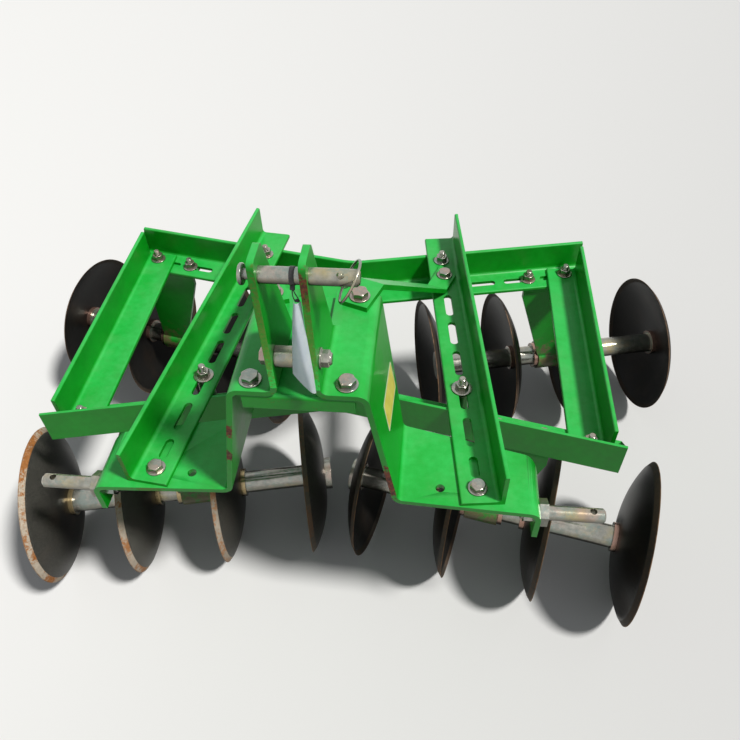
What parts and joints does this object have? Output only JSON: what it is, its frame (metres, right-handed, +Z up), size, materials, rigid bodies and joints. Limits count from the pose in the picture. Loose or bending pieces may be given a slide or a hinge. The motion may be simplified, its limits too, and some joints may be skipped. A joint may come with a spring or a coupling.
{
  "type": "disc harrow",
  "caption": "Three-point-hitch tandem disc harrow: a bolted angle-steel frame with a bent-plate mast carries four gangs of dished discs that turn freely.",
  "frame": {"origin": "on the ground under the middle of the part's bounding box", "axes": "+X to the right of someone facing the hitch, +Y rearward, away from the tractor, +Z up"},
  "size_m": [1.418, 0.8237, 0.862],
  "materials": {
    "green_paint": "gloss enamel, rubbed at the ears and edges",
    "plated_steel": "yellow zinc plate, worn",
    "disc_steel": "blackened heat-treated steel with rust at the edges"
  },
  "bodies": {
    "frame": {"hitch_plate_left": "green_paint", "hitch_plate_right": "green_paint", "cross_plate": "green_paint", "beam_left": "green_paint", "beam_right": "green_paint", "front_member": "green_paint", "rear_member": "green_paint", "side_angle_left": "green_paint", "side_angle_right": "green_paint", "brace_left": "green_paint", "brace_right": "green_paint", "front_sleeves": "plated_steel", "rear_sleeves": "plated_steel", "hanger_front_left": "green_paint", "hanger_front_right": "green_paint", "hanger_rear_left": "green_paint", "hanger_rear_right": "green_paint", "bearing_front_left": "plated_steel", "bearing_front_right": "plated_steel", "bearing_rear_left": "plated_steel", "bearing_rear_right": "plated_steel", "lower_pin_left": "plated_steel", "lower_pin_right": "plated_steel", "upper_pin": "plated_steel", "linch_pin": "plated_steel", "mast_bolt": "plated_steel", "mast_tube": "plated_steel"},
    "gang_front_left": {"discs_front_left": "disc_steel", "spools_front_left": "plated_steel", "axle_front_left": "plated_steel"},
    "gang_front_right": {"discs_front_right": "disc_steel", "spools_front_right": "plated_steel", "axle_front_right": "plated_steel"},
    "gang_rear_left": {"discs_rear_left": "disc_steel", "spools_rear_left": "plated_steel", "axle_rear_left": "plated_steel"},
    "gang_rear_right": {"discs_rear_right": "disc_steel", "spools_rear_right": "plated_steel", "axle_rear_right": "plated_steel"}
  },
  "joints": [
    {"name": "gang_front_left_spin", "type": "hinge", "parent": "frame", "child": "gang_front_left", "pos_m": [-0.27749, -0.20441, 0.15], "axis": [0.9781, 0.2079, 0], "continuous": true},
    {"name": "gang_front_right_spin", "type": "hinge", "parent": "frame", "child": "gang_front_right", "pos_m": [0.27749, -0.20441, 0.15], "axis": [0.9781, -0.2079, 0], "continuous": true},
    {"name": "gang_rear_left_spin", "type": "hinge", "parent": "frame", "child": "gang_rear_left", "pos_m": [-0.43203, 0.2196, 0.15], "axis": [0.9763, -0.2164, 0], "continuous": true},
    {"name": "gang_rear_right_spin", "type": "hinge", "parent": "frame", "child": "gang_rear_right", "pos_m": [0.43203, 0.2196, 0.15], "axis": [0.9763, 0.2164, 0], "continuous": true}
  ]
}
